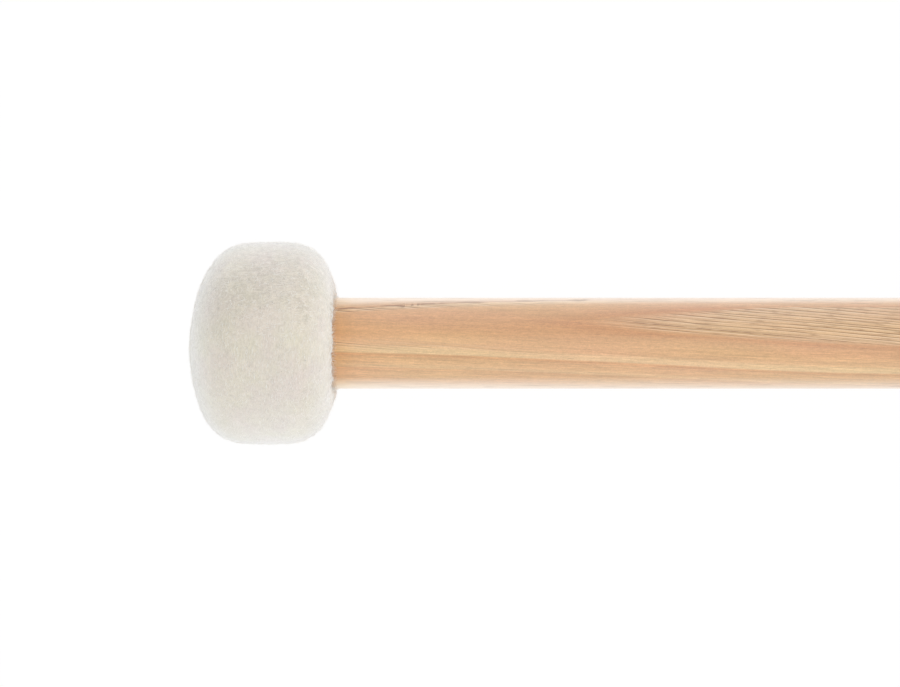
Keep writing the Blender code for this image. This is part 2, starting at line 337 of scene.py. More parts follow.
def long_lines(tree, lean, seed):
    """Long pore lines side by side, each with its own place, strength and breaks, and pale lines beside them."""
    warp = noise_texture(tree, scaled(tree, lean, (0.03, 0.4, 0.0), (seed, 0, 0)), 1.0, detail=1.0)
    count = maths(tree, "ADD", dot(tree, lean, (0, PORES_PER_MM, 0)), warp)
    number = maths(tree, "ADD", maths(tree, "FLOOR", count), seed)
    chance = add_node(tree, "ShaderNodeTexWhiteNoise", {"W": number}, noise_dimensions="1D").outputs["Value"]
    centre = maths(tree, "MULTIPLY_ADD", chance, 0.4, 0.25)
    off_line = maths(tree, "SUBTRACT", maths(tree, "FRACT", count), centre)
    own_place = {"X": dot(tree, lean, (0.11, 0, 0)), "Y": maths(tree, "MULTIPLY", number, 3.7)}
    breaks = noise_texture(tree, add_node(tree, "ShaderNodeCombineXYZ", own_place).outputs[0], 1.0, detail=2.0)
    strength = ramp(tree, breaks, ((0.34, grey(0.25)), (0.54, grey(1.0))))
    dark = maths(tree, "MULTIPLY", nearness(tree, off_line, 0.17), strength)
    pale = nearness(tree, maths(tree, "ADD", off_line, 0.30), 0.19)
    return dark, maths(tree, "MULTIPLY", pale, strength)


def pore_lines(tree, place, phase, depth):
    """How much the wood is cut along its early wood, and the dark pores and pale lines that show there."""
    lean = sloped(tree, place, PORE_SLOPE)
    dark, pale = long_lines(tree, lean, 3)
    off_longest = maths(tree, "SUBTRACT", dot(tree, lean, (0, 1, 0)), LONGEST_PORE)
    longest = nearness(tree, off_longest, 0.11)
    dark = maths(tree, "MULTIPLY", dark, maths(tree, "SUBTRACT", 1.0, nearness(tree, off_longest, 0.42)))
    gaps = noise_texture(tree, scaled(tree, lean, (0.35, 0.5, 0.5), (3, 7, 2)), 1.0, detail=1.0)
    longest = maths(tree, "MULTIPLY", longest, ramp(tree, gaps, ((0.34, grey(0.4)), (0.5, grey(1.0)))))
    fine = thin_lines(tree, lean, (0.06, 3.0, 3.0), (8, 1, 5), 0.08)
    early_wood = ramp(tree, phase, ((0.02, grey(0)), (0.07, grey(1)), (0.40, grey(1)), (0.55, grey(0))))
    cut_along = ramp(tree, maths(tree, "DIVIDE", depth, 8.0), ((0.80, grey(0.10)), (0.93, grey(1))))
    share = maths(tree, "MULTIPLY", early_wood, cut_along)
    lines = maths(tree, "MAXIMUM", maths(tree, "MAXIMUM", dark, longest), maths(tree, "MULTIPLY", fine, 0.45))
    return share, maths(tree, "MULTIPLY", lines, share), maths(tree, "MULTIPLY", pale, share)


def column_x(column):
    """The place along the handle, in millimetres, that a column of the photograph shows."""
    return HEAD_FRONT_X / MM + (column - HEAD_FRONT_PIXEL) * PIXEL / MM


def edge_chips(tree, place, beyond):
    """Dark pores and torn fibres on the ring line at the handle's far edge, and a few along both edges."""
    first, last = FAR_LINE[0][0], FAR_LINE[-1][0]
    reach = column_x(last) - column_x(first)
    along = maths(tree, "DIVIDE", maths(tree, "SUBTRACT", dot(tree, place, (1, 0, 0)), column_x(first)), reach)
    share = ramp(tree, along, [((column - first) / (last - first), grey(s)) for column, s in FAR_LINE])
    torn_stops = [(column - first) / (last - first) for column in TORN_COLUMNS]
    torn = ramp(tree, along, [(stop, grey(level)) for stop, level in zip(torn_stops, (0, 1, 1, 0))])
    broken = noise_texture(tree, scaled(tree, place, (0.22, 0.3, 0.3), (5, 2, 9)), 1.0, detail=2.0, roughness=0.7)
    teeth = noise_texture(tree, scaled(tree, place, (2.4, 0.3, 0.3), (2, 2, 1)), 1.0, detail=1.0)
    wander = maths(tree, "MULTIPLY", maths(tree, "SUBTRACT", broken, 0.5), 0.45)
    ragged = maths(tree, "MULTIPLY", maths(tree, "MULTIPLY", maths(tree, "SUBTRACT", teeth, 0.5), torn), 0.9)
    off_line = maths(tree, "ADD", maths(tree, "ADD", beyond, wander), ragged)
    width = maths(tree, "MULTIPLY_ADD", torn, 0.12, maths(tree, "MULTIPLY_ADD", share, 0.12, 0.11))
    bites = maths(tree, "MULTIPLY", torn, ramp(tree, teeth, ((0.46, grey(0.85)), (0.54, grey(0)))))
    share = maths(tree, "MULTIPLY", share, maths(tree, "SUBTRACT", 1.0, bites))
    line = maths(tree, "MULTIPLY", nearness(tree, off_line, width), share)
    second = nearness(tree, maths(tree, "SUBTRACT", off_line, 0.42), 0.10)
    gaps = ramp(tree, broken, ((0.46, grey(0)), (0.56, grey(0.5))))
    line = maths(tree, "MAXIMUM", line, maths(tree, "MULTIPLY", maths(tree, "MULTIPLY", second, gaps), share))
    pits = noise_texture(tree, scaled(tree, place, (0.13, 2.6, 2.6), (1, 4, 6)), 1.0, detail=1.0)
    edge = ramp(
        tree,
        maths(tree, "DIVIDE", maths(tree, "ABSOLUTE", dot(tree, place, (0, 1, 0))), 8.0),
        ((0.82, grey(0)), (0.95, grey(0.8)), (1.0, grey(0.7))),
    )
    near = maths(tree, "MULTIPLY", ramp(tree, pits, ((0.60, grey(0)), (0.67, grey(0.8)))), edge)
    return maths(tree, "MAXIMUM", line, near)


def painted_side_light(tree, place, wood, beyond):
    """Painted light and shade along the handle's sides: painted highlights pale the wood towards both edges, painted
    shade darkens the very edges and the far half, with a slightly deeper tone between the near edge and the middle.
    """
    side = maths(tree, "MULTIPLY_ADD", dot(tree, place, (0, 1, 0)), 0.0625, 0.5)
    # Painted shade and light across the handle: darker at the very edges and towards the far edge, a little lighter
    # just to the near side of the middle.
    tone = ramp(
        tree,
        side,
        (
            (0.00, linear(230, 228, 222)),
            (0.025, linear(238, 237, 231)),
            (0.05, linear(242, 243, 238)),
            (0.12, linear(244, 245, 240)),
            (0.20, linear(250, 251, 247)),
            (0.34, linear(257, 261, 264)),
            (0.44, linear(255, 259, 262)),
            (0.60, grey(1.0)),
            (0.80, linear(246, 246, 249)),
            (0.90, linear(241, 243, 250)),
            (0.955, linear(238, 241, 249)),
            (0.975, linear(236, 238, 244)),
            (1.00, linear(228, 230, 236)),
        ),
    )
    wood = mix(tree, 1.0, wood, tone, "MULTIPLY")
    # Painted highlight: pale cream along the near edge, fading along the handle.
    near_edge_highlight = ramp(tree, side, ((0.03, grey(0.55)), (0.13, grey(0.0))))
    along = maths(tree, "MULTIPLY_ADD", dot(tree, place, (0.0142, 0, 0)), 1.0, -0.0142 * column_x(345))
    by_length = ramp(tree, along, ((0.0, grey(1.0)), (0.26, grey(0.8)), (0.6, grey(0.5)), (1.0, grey(0.35))))
    wood = mix(tree, maths(tree, "MULTIPLY", near_edge_highlight, by_length), wood, linear(254, 246, 232))
    # Painted highlight: pale along the far rim, and beyond the ring line at the far edge.
    far_rim_highlight = ramp(tree, side, ((0.93, grey(0.0)), (0.975, grey(0.36)), (1.0, grey(0.44))))
    wood = mix(tree, far_rim_highlight, wood, linear(253, 236, 228))
    far_edge_highlight = ramp(tree, beyond, ((0.04, grey(0.0)), (0.50, grey(0.12)), (1.0, grey(0.40))))
    return mix(tree, far_edge_highlight, wood, linear(255, 240, 228))


def hickory():
    """Lacquered hickory: growth rings that run out along the handle, fine fibres and open pores."""
    material, tree, shader, place = new_material("lacquered_hickory")
    rings, depth = ring_count(tree, place)
    phase = maths(tree, "FRACT", rings)
    wood = ring_tones(tree, rings, phase)
    grain = sloped(tree, place, GRAIN_SLOPE)
    streaks = noise_texture(tree, scaled(tree, grain, (0.06, 1.3, 1.3)), 1.0, detail=3.0, roughness=0.6)
    wood = mix(tree, 1.0, wood, ramp(tree, streaks, ((0.32, grey(0.93)), (0.68, grey(1.06)))), "MULTIPLY")
    fibres = noise_texture(tree, scaled(tree, grain, (0.9, 4.0, 4.0)), 1.0, detail=3.0, roughness=0.7)
    wood = mix(tree, 1.0, wood, ramp(tree, fibres, ((0.34, grey(0.90)), (0.66, grey(1.09)))), "MULTIPLY")
    side = maths(tree, "MULTIPLY_ADD", dot(tree, place, (0, 1, 0)), 0.0625, 0.5)
    line_share = ramp(
        tree,
        side,
        ((0.12, grey(0.7)), (0.38, grey(0.7)), (0.47, grey(0.25)), (0.86, grey(0.25)), (0.94, grey(0.8))),
    )
    dark_lines = thin_lines(tree, grain, (0.05, 2.6, 2.6), (6, 2, 8), 0.09)
    wood = mix(tree, maths(tree, "MULTIPLY", dark_lines, line_share), wood, grey(0.86), "MULTIPLY")
    light_lines = thin_lines(tree, grain, (0.05, 2.3, 2.3), (1, 9, 3), 0.09)
    wood = mix(tree, maths(tree, "MULTIPLY", light_lines, line_share), wood, grey(1.22), "MULTIPLY")
    specks = noise_texture(tree, place, 3.8, detail=2.0, roughness=0.7)
    wood = mix(tree, 1.0, wood, ramp(tree, specks, ((0.34, grey(0.94)), (0.66, grey(1.055)))), "MULTIPLY")
    patches = noise_texture(tree, scaled(tree, grain, (0.03, 0.22, 0.22)), 1.0, detail=2.0)
    tint = ramp(tree, patches, ((0.35, linear(255, 246, 242)), (0.65, linear(254, 253, 240))))
    wood = mix(tree, 0.9, wood, tint, "MULTIPLY")
    share, pores, pale_lines = pore_lines(tree, place, phase, depth)
    wood = mix(tree, maths(tree, "MULTIPLY", share, 0.35), wood, linear(226, 186, 146))
    wood = mix(tree, maths(tree, "MULTIPLY", pale_lines, 0.65), wood, linear(247, 220, 184))
    wood = mix(tree, maths(tree, "MULTIPLY", pores, 0.96), wood, linear(122, 66, 0))
    beyond = beyond_far_ring(tree, place)
    wood = painted_side_light(tree, place, wood, beyond)
    chips = edge_chips(tree, place, beyond)
    wood = mix(tree, maths(tree, "MULTIPLY", chips, 0.94), wood, linear(120, 66, 4))
    # Painted shade: the wood is darker and warmer next to the head, where the head shades it.
    by_head = maths(tree, "SUBTRACT", dot(tree, place, (1, 0, 0)), cover_high.x / MM)
    painted_head_shade = ramp(tree, maths(tree, "DIVIDE", by_head, 10.0), ((0.0, linear(250, 240, 214)), (0.4, linear(253, 250, 244)), (1.0, grey(1.0))))
    wood = mix(tree, 1.0, wood, painted_head_shade, "MULTIPLY")
    tree.links.new(wood, shader.inputs["Base Color"])
    rough = ramp(tree, fibres, ((0.3, grey(0.46)), (0.7, grey(0.38))))
    tree.links.new(rough, shader.inputs["Roughness"])
    shader.inputs["Specular IOR Level"].default_value = 0.2
    shader.inputs["Coat Weight"].default_value = 1.0
    shader.inputs["Coat Roughness"].default_value = 0.22
    shader.inputs["Sheen Weight"].default_value = 1.0
    shader.inputs["Sheen Roughness"].default_value = 0.52
    shader.inputs["Sheen Tint"].default_value = linear(255, 245, 232)
    height = maths(tree, "SUBTRACT", maths(tree, "MULTIPLY", fibres, 0.2), maths(tree, "ADD", pores, chips))
    bump(tree, shader, height, 0.05 * MM, 0.5)
    return material


def maple():
    """Bare turned maple for the core inside the head."""
    material, tree, shader, place = new_material("bare_maple")
    fibres = noise_texture(tree, scaled(tree, place, (0.12, 2.6, 2.6)), 1.0, detail=5.0, roughness=0.6)
    wood = ramp(tree, fibres, ((0.3, linear(216, 187, 148)), (0.7, linear(235, 212, 178))))
    flecks = noise_texture(tree, scaled(tree, place, (0.5, 5.0, 5.0)), 1.0, detail=2.0)
    fleck_tone = ramp(tree, flecks, ((0.55, grey(1.0)), (0.75, grey(0.88))))
    tree.links.new(mix(tree, 1.0, wood, fleck_tone, "MULTIPLY"), shader.inputs["Base Color"])
    tree.links.new(ramp(tree, fibres, ((0.3, grey(0.66)), (0.7, grey(0.55)))), shader.inputs["Roughness"])
    bump(tree, shader, fibres, 0.04 * MM, 0.5)
    return material


def steel(name, light, dark):
    """Plated steel with dull patches and fine scratches."""
    material, tree, shader, place = new_material(name)
    patches = noise_texture(tree, place, 0.8, detail=4.0, roughness=0.6)
    tree.links.new(ramp(tree, patches, ((0.35, dark), (0.65, light))), shader.inputs["Base Color"])
    shader.inputs["Metallic"].default_value = 1.0
    scratches = noise_texture(tree, scaled(tree, place, (8.0, 0.9, 8.0)), 1.0, detail=3.0)
    tree.links.new(ramp(tree, patches, ((0.3, grey(0.42)), (0.7, grey(0.28)))), shader.inputs["Roughness"])
    bump(tree, shader, scratches, 0.01 * MM, 0.4)
    return material


# Middle of the head along the handle, in millimetres
HEAD_MIDDLE = WIDEST_X / MM


def felt(name, light, dark, relief, lip_x=None):
    """Wool felt: fine matted strands, soft mottling, small dark specks, a downy sheen and painted shade with a pink
    tint towards the upper left. With a lip, it also has painted shade on its back, low on its front and in pits at the
    lip, and painted light on the lip beside the handle.
    """
    material, tree, shader, place = new_material(name)
    upright = noise_texture(tree, scaled(tree, place, (4.6, 1.0, 4.6)), 1.0, detail=2.0, roughness=0.6)
    level = noise_texture(tree, scaled(tree, place, (1.6, 3.6, 3.6)), 1.0, detail=2.0, roughness=0.6)
    patches = noise_texture(tree, place, 0.30, detail=2.0)
    high = maths(tree, "MULTIPLY_ADD", dot(tree, place, (0, 1, 0)), 0.05, patches)
    turn = ramp(tree, high, ((0.62, grey(0)), (0.92, grey(1))))
    strands = mix(tree, turn, upright, level)
    wool = ramp(tree, strands, ((0.20, dark), (0.80, light)))
    streaks = mix(tree, turn, grey(1.0), ramp(tree, level, ((0.34, grey(0.95)), (0.66, grey(1.04)))))
    wool = mix(tree, 1.0, wool, streaks, "MULTIPLY")
    pale_strands = thin_lines(tree, place, (2.2, 1.2, 2.2), (4, 9, 2), 0.07)
    wool = mix(tree, 1.0, wool, ramp(tree, pale_strands, ((0.0, grey(1.0)), (1.0, grey(1.03)))), "MULTIPLY")
    dark_strands = thin_lines(tree, place, (1.3, 1.8, 1.8), (7, 3, 5), 0.06)
    wool = mix(tree, 1.0, wool, ramp(tree, dark_strands, ((0.0, grey(1.005)), (1.0, grey(0.94)))), "MULTIPLY")
    speckle = noise_texture(tree, place, 4.0, detail=2.0, roughness=0.6)
    wool = mix(tree, 1.0, wool, ramp(tree, speckle, ((0.34, grey(0.98)), (0.66, grey(1.015)))), "MULTIPLY")
    clumps = noise_texture(tree, place, 0.9, detail=2.0, roughness=0.6)
    clump_tone = mix(
        tree,
        turn,
        ramp(tree, clumps, ((0.32, grey(0.96)), (0.68, grey(1.03)))),
        ramp(tree, clumps, ((0.32, grey(0.885)), (0.68, grey(1.06)))),
    )
    wool = mix(tree, 1.0, wool, clump_tone, "MULTIPLY")
    mottling = noise_texture(tree, place, 0.16, detail=4.0, roughness=0.6)
    tint = ramp(
        tree,
        mottling,
        ((0.36, linear(255, 250, 248)), (0.50, linear(255, 253, 247)), (0.64, linear(254, 254, 243))),
    )
    wool = mix(tree, 0.9, wool, tint, "MULTIPLY")
    # Painted shade with a pink tint: the felt is darker and pinker towards the upper left.
    upward = maths(tree, "MULTIPLY_ADD", dot(tree, place, (-0.35, 1, 0)), 0.031, 0.5 + HEAD_MIDDLE * 0.35 * 0.031)
    pink_and_shade = maths(tree, "ADD", upward, maths(tree, "MULTIPLY", maths(tree, "SUBTRACT", mottling, 0.5), 0.4))
    tint = ramp(
        tree,
        pink_and_shade,
        (
            (0.00, linear(253, 252, 254)),
            (0.20, linear(254, 252, 253)),
            (0.34, linear(257, 255, 254)),
            (0.54, linear(257, 255, 252)),
            (0.66, linear(251, 248, 245)),
            (0.80, linear(242, 238, 237)),
            (0.90, linear(239, 235, 234)),
            (1.00, linear(245, 241, 241)),
        ),
    )
    wool = mix(tree, 1.0, wool, tint, "MULTIPLY")
    cells = add_node(tree, "ShaderNodeTexVoronoi", {"Vector": place, "Scale": 0.8, "Randomness": 1.0})
    chosen = maths(tree, "GREATER_THAN", dot(tree, cells.outputs["Color"], (1, 0, 0)), 0.70)
    speck = nearness(tree, cells.outputs["Distance"], 0.15)
    speck_share = maths(tree, "MULTIPLY", maths(tree, "MULTIPLY", speck, chosen), 0.55)
    wool = mix(tree, speck_share, wool, linear(150, 140, 118))
    if lip_x is not None:
        near_lip = maths(tree, "MULTIPLY_ADD", dot(tree, place, (0.1, 0, 0)), 1.0, 1.0 - 0.1 * lip_x / MM)
        # Painted shade: the back of the head is a little darker towards the lip, except on its upper side.
        painted_back_shade = ramp(
            tree,
            near_lip,
            (
                (0.30, grey(1.0)),
                (0.52, linear(250, 248, 247)),
                (0.72, linear(243, 242, 241)),
                (0.88, linear(245, 243, 241)),
                (1.00, linear(250, 247, 244)),
            ),
        )
        rise = maths(tree, "MULTIPLY_ADD", dot(tree, place, (0, 1, 0)), 0.04, 0.5)
        wool = mix(tree, ramp(tree, rise, ((0.72, grey(1.0)), (0.96, grey(0.2)))), wool, painted_back_shade, "MULTIPLY")
        # Painted shade: slightly darker low on the front of the head.
        from_front = maths(tree, "MULTIPLY", maths(tree, "SUBTRACT", dot(tree, place, (1, 0, 0)), HEAD_FRONT_X / MM), 0.1)
        painted_front_shade = maths(
            tree,
            "MULTIPLY",
            ramp(tree, from_front, ((0.20, grey(1.0)), (0.45, grey(0.0)))),
            ramp(tree, rise, ((0.38, grey(1.0)), (0.62, grey(0.0)))),
        )
        wool = mix(tree, painted_front_shade, wool, linear(247, 248, 248), "MULTIPLY")
        # Painted shade: brown-grey pits at the lip over the handle stand for shadows between the fibre clumps.
        pits = ramp(tree, noise_texture(tree, place, 1.7, detail=2.0), ((0.50, grey(0)), (0.60, grey(0.5))))
        off_axis = maths(tree, "DIVIDE", maths(tree, "ABSOLUTE", dot(tree, place, (0, 1, 0))), HANDLE_RADIUS / MM)
        over_wood = ramp(tree, off_axis, ((0.85, grey(1)), (0.98, grey(0))))
        off_wood = maths(tree, "MULTIPLY", off_axis, 0.5)
        beside_wood = ramp(tree, off_wood, ((0.49, grey(0)), (0.53, grey(1)), (0.75, grey(0.8)), (0.92, grey(0))))
        # Painted light: the lip beside the handle is paler and bluer, offsetting the dim, warm light it gets from the
        # wood.
        painted_lip_light = maths(tree, "MULTIPLY", ramp(tree, near_lip, ((0.85, grey(0)), (0.95, grey(1)))), beside_wood)
        wool = mix(tree, painted_lip_light, wool, linear(264, 266, 273), "MULTIPLY")
        at_lip = maths(tree, "MULTIPLY", ramp(tree, near_lip, ((0.93, grey(0)), (0.98, grey(1)))), over_wood)
        lip_shade_share = maths(tree, "MULTIPLY", at_lip, pits)
        wool = mix(tree, lip_shade_share, wool, linear(170, 150, 124))
    tree.links.new(wool, shader.inputs["Base Color"])
    shader.inputs["Roughness"].default_value = 0.95
    shader.inputs["Specular IOR Level"].default_value = 0.4
    shader.inputs["Sheen Weight"].default_value = 1.0
    shader.inputs["Sheen Roughness"].default_value = 0.60
    shader.inputs["Sheen Tint"].default_value = linear(244, 250, 255)
    height = maths(tree, "ADD", strands, maths(tree, "MULTIPLY", speckle, 0.6))
    bump(tree, shader, height, relief, 0.8)
    return material


def down(name, light, dark, beside_wood=None):
    """Loose wool fibres, each a little lighter or darker than the next, with another tone beside the handle."""
    material, tree, shader, place = new_material(name)
    tone = noise_texture(tree, place, 1.4, detail=2.0)
    wool = ramp(tree, tone, ((0.35, dark), (0.65, light)))
    if beside_wood:
        off_axis = maths(tree, "DIVIDE", maths(tree, "ABSOLUTE", dot(tree, place, (0, 1, 0))), HANDLE_RADIUS / MM)
        wool = mix(tree, ramp(tree, off_axis, ((0.92, grey(0)), (0.99, grey(1)))), wool, beside_wood)
    tree.links.new(wool, shader.inputs["Base Color"])
    shader.inputs["Roughness"].default_value = 0.9
    shader.inputs["Specular IOR Level"].default_value = 0.2
    shader.inputs["Sheen Weight"].default_value = 1.0
    shader.inputs["Sheen Roughness"].default_value = 0.8
    return material


def dome_points(depth, radius, powers, start, end, steps):
    """Points (distance, radius) of a superellipse, by angle from the axis at 0 to the widest circle."""
    angles = np.linspace(start, end, 40 * steps)
    distances = depth * np.maximum(np.cos(angles), 0.0) ** (2 / powers[0])
    radii = radius * np.sin(angles) ** (2 / powers[1])
    chords = np.hypot(np.diff(distances), np.diff(radii))
    travelled = np.concatenate(([0.0], np.cumsum(chords)))
    even = np.interp(np.linspace(0, travelled[-1], steps + 1), travelled, angles)
    distances = depth * np.maximum(np.cos(even), 0.0) ** (2 / powers[0])
    return list(zip(distances, radius * np.sin(even) ** (2 / powers[1])))


def dome_angle(radius, full_radius, powers):
    return math.asin((radius / full_radius) ** (powers[1] / 2))


def corner(centre_x, centre_radius, size, start, end, steps):
    """Points of an arc, with angles measured from the +X direction towards a larger radius."""
    angles = np.linspace(start, end, steps + 1)
    return [(centre_x + size * math.cos(a), centre_radius + size * math.sin(a)) for a in angles]


def turned(outline, sides):
    """A bmesh turned about X from (x, radius) points that run from axis to axis."""
    form = bmesh.new()
    points = [form.verts.new((x, 0, radius)) for x, radius in outline]
    for start, end in zip(points, points[1:]):
        form.edges.new((start, end))
    geometry = form.verts[:] + form.edges[:]
    bmesh.ops.spin(
        form, geom=geometry, cent=(0, 0, 0), axis=AXIS, angle=math.tau, steps=sides, use_merge=True
    )
    bmesh.ops.remove_doubles(form, verts=form.verts, dist=0.001 * MM)
    bmesh.ops.recalc_face_normals(form, faces=form.faces)
    return form


def add_piece(name, form, material, sharp_angle=None):
    mesh = bpy.data.meshes.new(name)
    form.to_mesh(mesh)
    form.free()
    mesh.shade_smooth()
    if sharp_angle:
        mesh.set_sharp_from_angle(angle=sharp_angle)
    mesh.materials.append(material)
    piece = bpy.data.objects.new(name, mesh)
    bpy.context.scene.collection.objects.link(piece)
    return piece


def settle(piece, slot, *nodes):
    """The piece rides on the mallet and stands for its CAD nodes, which it hides; its slot is not used."""
    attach(piece, "root")
    if nodes:
        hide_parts(*nodes)
    return piece


def make_handle():
    """Turned dowel with a rounded butt, and the tenon and pilot hole inside the head."""
    stations = 120
    pilot_x = TENON_X + PILOT_LENGTH
    outline = [
        (pilot_x + PILOT_RADIUS, 0),
        (pilot_x, PILOT_RADIUS),
        (TENON_X, PILOT_RADIUS),
        (TENON_X, TENON_RADIUS - 0.5 * MM),
        (TENON_X + 0.5 * MM, TENON_RADIUS),
        (SHOULDER_X, TENON_RADIUS),
        (SHOULDER_X, HANDLE_RADIUS),
    ]
    for x in np.linspace(SHOULDER_X, -BUTT_EDGE_RADIUS, stations)[1:-1]:
        outline.append((x, HANDLE_RADIUS))
    flat = HANDLE_RADIUS - BUTT_EDGE_RADIUS
    outline += corner(-BUTT_EDGE_RADIUS, flat, BUTT_EDGE_RADIUS, math.pi / 2, 0, 12)
    outline.append((0, 0))
    form = turned(outline, 128)
    piece = add_piece("hickory_handle", form, hickory(), math.radians(40))
    return settle(piece, "hickory", "handle")


def outside(point):
    """How far out in the felt wall a point is: 0 at its inner face and 1 at its outer one."""
    distance = point.x - WIDEST_X
    depth, powers = (BACK_DEPTH, BACK_POWERS) if distance > 0 else (FRONT_DEPTH, FRONT_POWERS)
    radius = math.hypot(point.y, point.z)

    def fullness(wall):
        return (abs(distance) / (depth - wall)) ** powers[0] + (radius / (HEAD_RADIUS - wall)) ** powers[1]

    return min(max((fullness(COVER_WALL) - 1) / 0.25, 0), 1)


def felt_lip_x():
    """Where the felt's round lip ends along the handle."""
    lip_angle = dome_angle(MOUTH_RADIUS + LIP_RADIUS, HEAD_RADIUS, BACK_POWERS)
    return WIDEST_X + BACK_DEPTH * math.cos(lip_angle) ** (2 / BACK_POWERS[0])


def felt_outline():
    """Closed outline of the felt cover: its outer face, the lip at the handle and its inner face."""
    lip_top = MOUTH_RADIUS + LIP_RADIUS
    lip_angle = dome_angle(lip_top, HEAD_RADIUS, BACK_POWERS)
    front = dome_points(FRONT_DEPTH, HEAD_RADIUS, FRONT_POWERS, 0, math.pi / 2, 64)
    back = dome_points(BACK_DEPTH, HEAD_RADIUS, BACK_POWERS, math.pi / 2, lip_angle, 44)
    outline = [(WIDEST_X - d, r) for d, r in front]
    outline += [(WIDEST_X + d, r) for d, r in back[1:-1]]
    outline += corner(felt_lip_x() - LIP_RADIUS, lip_top, LIP_RADIUS, 0, -math.pi / 2, 6)
    inner_radius = HEAD_RADIUS - COVER_WALL
    mouth_angle = dome_angle(MOUTH_RADIUS, inner_radius, BACK_POWERS)
    inner_back = dome_points(BACK_DEPTH - COVER_WALL, inner_radius, BACK_POWERS, mouth_angle, math.pi / 2, 12)
    inner_front = dome_points(FRONT_DEPTH - COVER_WALL, inner_radius, FRONT_POWERS, math.pi / 2, 0, 16)
    outline += [(WIDEST_X + d, r) for d, r in inner_back]
    outline += [(WIDEST_X - d, r) for d, r in inner_front[1:]]
    return outline


def roughen(point, normal):
    """Moves a point of the felt's outer face by its lumps and its matted relief."""
    lumps = noise.noise(point / LUMP_SIZE) * LUMP_HEIGHT
    relief = noise.noise(point / RELIEF_SIZE) * RELIEF_HEIGHT
    return point + normal * (lumps + relief)


def make_felt_head():
    form = turned(felt_outline(), 256)
    form.normal_update()
    moved = []
    for vertex in form.verts:
        share = outside(vertex.co)
        radius = math.hypot(vertex.co.y, vertex.co.z)
        near_mouth = min(max((radius - MOUTH_RADIUS) / LIP_RADIUS, 0), 1)
        if vertex.co.x < WIDEST_X:
            near_mouth = 1
        target = roughen(vertex.co.copy(), vertex.normal)
        skew = FRONT_SKEW if vertex.co.x < WIDEST_X else BACK_SKEW
        target.x += skew * vertex.co.y
        place = vertex.co.lerp(target, share * near_mouth)
        if vertex.co.x > WIDEST_X:
            near_lip = min(max(1.6 - 0.8 * (radius - MOUTH_RADIUS) / LIP_RADIUS, 0), 1)
            for size, height in LIP_WAVES:
                place.x += noise.noise(vertex.co / size) * height * share * near_lip
        moved.append(place)
    for vertex, place in zip(form.verts, moved):
        vertex.co = place
    light, dark = linear(236, 231, 222), linear(210, 205, 194)
    piece = add_piece("felt_head", form, felt("white_wool_felt", light, dark, 0.04 * MM, felt_lip_x()))
    settle(piece, "white_wool_felt", "felt_cover")
    return piece


def outer_faces(mesh):
    """Centres, normals and areas of the felt's outer faces."""
    faces = [f for f in mesh.polygons if outside(f.center) > 0.9]
    centres = np.array([f.center for f in faces])
    normals = np.array([f.normal for f in faces])
    areas = np.array([f.area for f in faces])
    return centres, normals, areas


def strand_curve(name, strands, material):
    """One mesh of short tapered tubes, from strands of (points, radii)."""
    curve = bpy.data.curves.new(name, "CURVE")
    curve.dimensions = "3D"
    curve.bevel_mode = "ROUND"
    curve.bevel_depth = 1.0
    curve.bevel_resolution = 0
    curve.use_fill_caps = False
    for points, radii in strands:
        spline = curve.splines.new("POLY")
        spline.points.add(len(points) - 1)
        spline.points.foreach_set("co", [value for p in points for value in (*p, 0.0)])
        spline.points.foreach_set("radius", radii)
    holder = bpy.data.objects.new(name + "_curve", curve)
    bpy.context.scene.collection.objects.link(holder)
    evaluated = holder.evaluated_get(bpy.context.evaluated_depsgraph_get())
    mesh = bpy.data.meshes.new_from_object(evaluated)
    bpy.data.objects.remove(holder)
    mesh.name = name
    mesh.shade_smooth()
    mesh.materials.clear()
    mesh.materials.append(material)
    piece = bpy.data.objects.new(name, mesh)
    bpy.context.scene.collection.objects.link(piece)
    return piece


def tapered(radius):
    """Radii of a loose fibre's three points, from its root to its tip."""
    return [radius, radius * 0.8, radius * 0.3]


def make_strand(rng, root, normal, along, length, lift):
    """Three points of a fibre that leaves the felt and bends back towards it."""
    along = along - normal * along.dot(normal)
    along.normalize()
    side = normal.cross(along) * rng.normal(0, 0.28)
    middle = root + (along + side * 0.4) * (length * 0.5) + normal * lift
    end = root + (along + side) * length + normal * lift * rng.uniform(0.2, 1.5)
    return [root - normal * 0.06 * MM, middle, end]


def beside(rng, place, normal, spread):
    """A point near a place on the felt's face, moved only along the face."""
    shift = Vector(rng.normal(0, spread, 3))
    return place + shift - normal * shift.dot(normal)


def make_fibres(felt_head):
    """Loose fibres all over the felt, which give it a downy outline."""
    centres, normals, areas = outer_faces(felt_head.data)
    wool = down("loose_wool", linear(250, 248, 244), linear(238, 235, 229))
    chances = areas / areas.sum()
    for index in range(FIBRE_PIECES):
        rng = np.random.default_rng(FELT_SEED + index)
        strands = []
        lifts = FUZZ_LIFTS if index == FIBRE_PIECES - 1 else FIBRE_LIFTS
        for face in rng.choice(len(centres), FIBRES_PER_PIECE, p=chances):
            normal = Vector(normals[face])
            root = beside(rng, Vector(centres[face]), normal, 0.15 * MM)
            along = Vector(rng.normal(0, 1, 3)) + Vector((0, rng.choice((-1.6, 1.6)), 0))
            length = rng.uniform(*FIBRE_LENGTHS)
            lift = rng.uniform(*lifts) * rng.uniform(0.1, 1)
            strands.append((make_strand(rng, root, normal, along, length, lift), tapered(FIBRE_RADIUS)))
        piece = strand_curve(f"felt_fibres_{index + 1}", strands, wool)
        settle(piece, "white_wool_felt")


